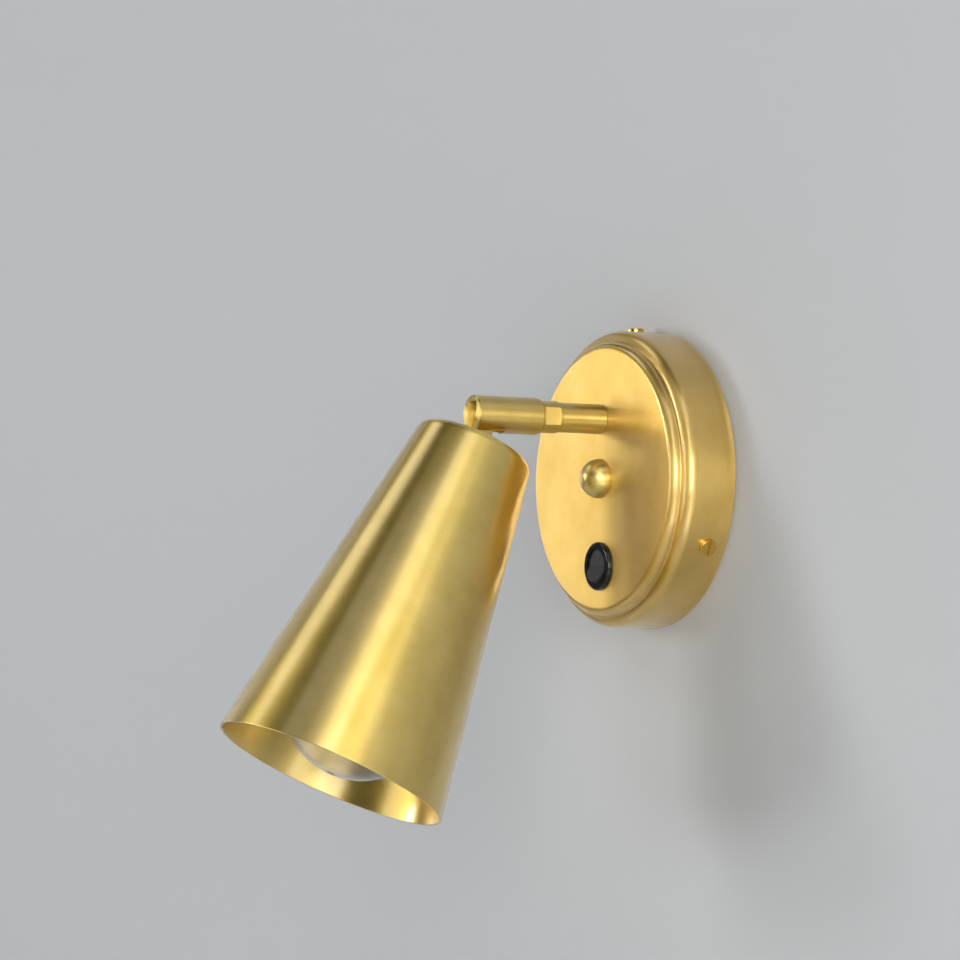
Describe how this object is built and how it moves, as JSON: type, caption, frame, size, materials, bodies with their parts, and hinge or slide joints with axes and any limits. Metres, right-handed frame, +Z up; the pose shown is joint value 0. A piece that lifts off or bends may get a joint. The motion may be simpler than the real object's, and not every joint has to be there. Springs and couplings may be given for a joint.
{
  "type": "bedside wall reading lamp",
  "caption": "Wall reading lamp with a round stepped rose, short arm, swivelling and tilting knuckle, open conical shade, round rocker switch and screw-in bulb.",
  "frame": {"origin": "on the wall plane, in the middle of the rose, halfway between the two wall screws", "axes": "+Y into the wall, +Z up, +X to the right of someone facing the lamp"},
  "size_m": [0.12, 0.1885, 0.1994],
  "materials": {
    "satin_brass": "fine brushed brass under clear lacquer",
    "plain_brass": "bare drawn or pressed brass",
    "zinc_steel": "bright zinc plate",
    "gloss_black_plastic": "glossy black",
    "satin_black_plastic": "satin black",
    "white_plastic": "matt white",
    "brown_insulation": "brown wire insulation",
    "blue_insulation": "blue wire insulation",
    "black_insulation": "black wire insulation",
    "green_insulation": "green and yellow wire insulation",
    "white_ceramic": "unglazed white ceramic",
    "nickel_steel": "bright nickel plate",
    "clear_glass": "clear",
    "dark_glass": "black glass",
    "tungsten": "drawn wire"
  },
  "bodies": {
    "wall_part": {"rose_cover": "satin_brass", "side_screws": "satin_brass", "dome_nut": "satin_brass", "arm_tube": "satin_brass", "swivel_base": "satin_brass", "terminal_inserts": "plain_brass", "earth_tag": "plain_brass", "switch_common_terminal": "plain_brass", "switch_load_terminal": "plain_brass", "back_plate": "zinc_steel", "lug_nuts": "zinc_steel", "dome_stud": "zinc_steel", "dome_washer": "zinc_steel", "dome_lock_nut": "zinc_steel", "arm_nipple": "zinc_steel", "arm_washer": "zinc_steel", "arm_lock_nut": "zinc_steel", "terminal_screws": "zinc_steel", "terminal_fixing_screw": "zinc_steel", "earth_screw": "zinc_steel", "switch_housing": "gloss_black_plastic", "terminal_block": "white_plastic", "feed_wire": "brown_insulation", "live_wire": "brown_insulation", "neutral_wire": "blue_insulation", "earth_wire": "green_insulation"},
    "knuckle": {"knuckle_body": "satin_brass", "swivel_grub_screw": "zinc_steel", "swivel_spring_washer": "zinc_steel", "pivot_screw": "satin_brass", "pivot_spring_washer": "zinc_steel", "knuckle_wires": "black_insulation"},
    "shade_head": {"shade_stem": "satin_brass", "shade": "satin_brass", "shade_washer": "zinc_steel", "shade_lock_nut": "zinc_steel", "lampholder_cap": "gloss_black_plastic", "lampholder_core": "white_ceramic", "lampholder_skirt": "gloss_black_plastic", "lampholder_shell": "plain_brass", "lampholder_contact": "plain_brass", "lampholder_screws": "zinc_steel", "stem_wires": "black_insulation", "bulb_glass": "clear_glass", "bulb_cap": "nickel_steel", "bulb_insulator": "dark_glass", "bulb_contact": "nickel_steel", "bulb_mount": "clear_glass", "bulb_leads": "nickel_steel", "bulb_filament": "tungsten"},
    "rocker": {"switch_rocker": "satin_black_plastic", "switch_plunger": "satin_black_plastic", "switch_spring": "zinc_steel"},
    "seesaw": {"switch_contact": "plain_brass"}
  },
  "joints": [
    {"name": "arm_swivel", "type": "hinge", "parent": "wall_part", "child": "knuckle", "pos_m": [0, -0.0593, 0.024], "axis": [0, 1, 0], "range_deg": [-157, 157]},
    {"name": "shade_tilt", "type": "hinge", "parent": "knuckle", "child": "shade_head", "pos_m": [0, -0.0773, 0.024], "axis": [1, 0, 0], "range_deg": [-73.8, 32.2]},
    {"name": "switch_rocker", "type": "hinge", "parent": "wall_part", "child": "rocker", "pos_m": [0, -0.0264, -0.0354], "axis": [1, 0, 0], "range_deg": [0, 18]},
    {"name": "switch_seesaw", "type": "hinge", "parent": "wall_part", "child": "seesaw", "pos_m": [0, -0.018, -0.0354], "axis": [1, 0, 0], "range_deg": [-10, 0]}
  ],
  "couplings": [
    {"joint": "switch_seesaw", "follows": "switch_rocker", "ratio": -0.5555}
  ]
}
